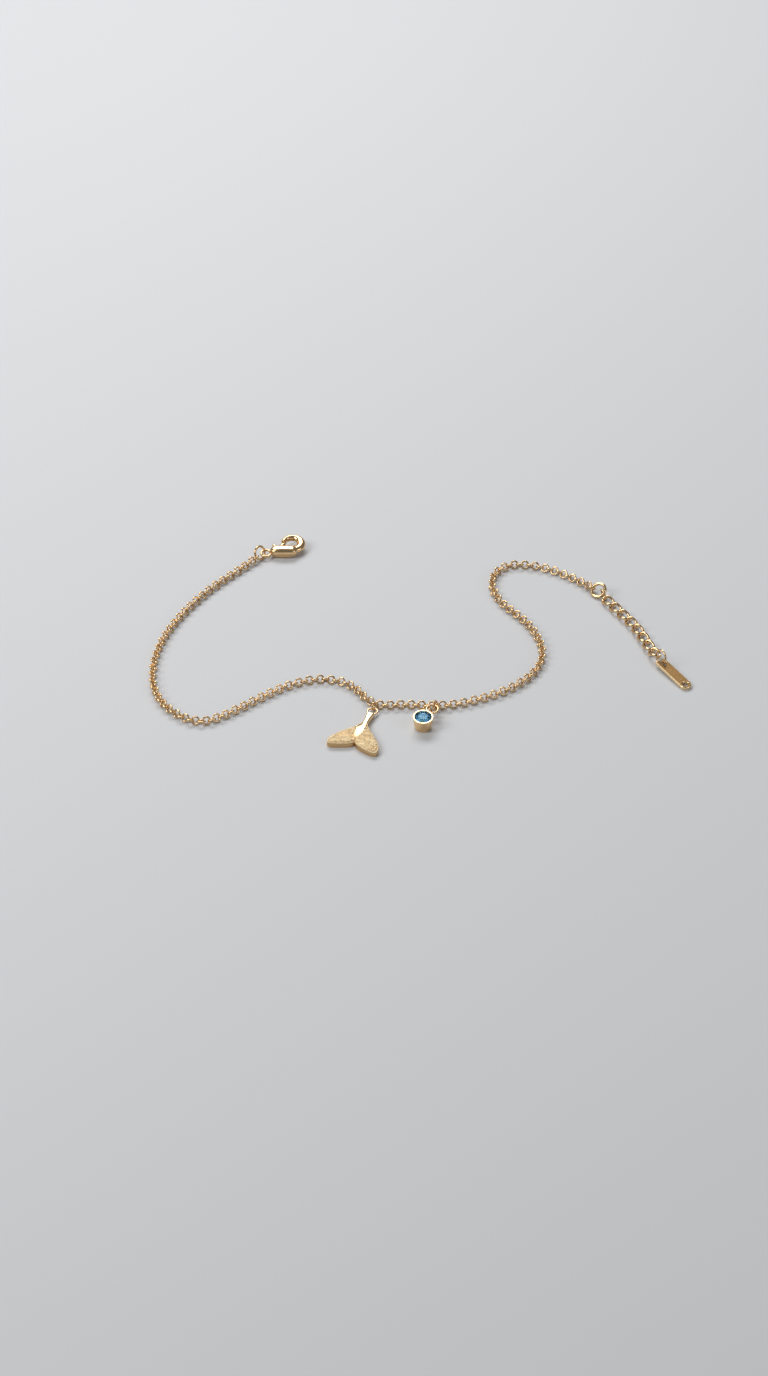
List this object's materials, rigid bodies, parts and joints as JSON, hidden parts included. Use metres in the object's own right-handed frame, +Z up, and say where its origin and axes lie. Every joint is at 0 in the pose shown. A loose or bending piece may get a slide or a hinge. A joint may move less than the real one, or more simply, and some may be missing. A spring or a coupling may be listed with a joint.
{
  "type": "charm anklet",
  "caption": "Charm anklet laid open: fine rolo chain with lobster clasp, granulated whale tail charm, bezel-set blue stone, and a curb-link extender with an end tag.",
  "frame": {"origin": "the surface that the anklet lies on, at the middle of its footprint", "axes": "+X from the clasp side to the extender side, +Y away from the side with the charms, +Z up"},
  "size_m": [0.1242, 0.0807, 0.0038],
  "materials": {
    "polished_gold_plate": "polished",
    "granulated_gold_plate": "granulated fluke, polished stem",
    "brushed_gold_plate": "brushed face, polished edge",
    "blue_stone": "faceted, polished"
  },
  "bodies": {
    "anklet": {"main_chain": "polished_gold_plate", "clasp_jump_ring": "polished_gold_plate", "clasp_body": "polished_gold_plate", "clasp_pin": "polished_gold_plate", "tail_jump_ring": "polished_gold_plate", "bezel_cup": "polished_gold_plate", "bezel_jump_ring": "polished_gold_plate", "bezel_link_ring": "polished_gold_plate", "end_ring": "polished_gold_plate", "extender_ring": "polished_gold_plate", "curb_link_1": "polished_gold_plate", "curb_link_2": "polished_gold_plate", "curb_link_3": "polished_gold_plate", "curb_link_4": "polished_gold_plate", "curb_link_5": "polished_gold_plate", "curb_link_6": "polished_gold_plate", "curb_link_7": "polished_gold_plate", "curb_link_8": "polished_gold_plate", "tag_jump_ring": "polished_gold_plate", "tail_charm": "granulated_gold_plate", "tag": "brushed_gold_plate", "bezel_stone": "blue_stone"},
    "clasp_lever": {"clasp_lever": "polished_gold_plate"}
  },
  "joints": [
    {"name": "clasp_lever_hinge", "type": "hinge", "parent": "anklet", "child": "clasp_lever", "pos_m": [-0.0343, 0.03518, 0.0014], "axis": [0, -0.1392, 0.9903], "range_deg": [-24, 0], "stiffness_Nm_per_rad": 0.002, "springref_deg": 11.46}
  ]
}
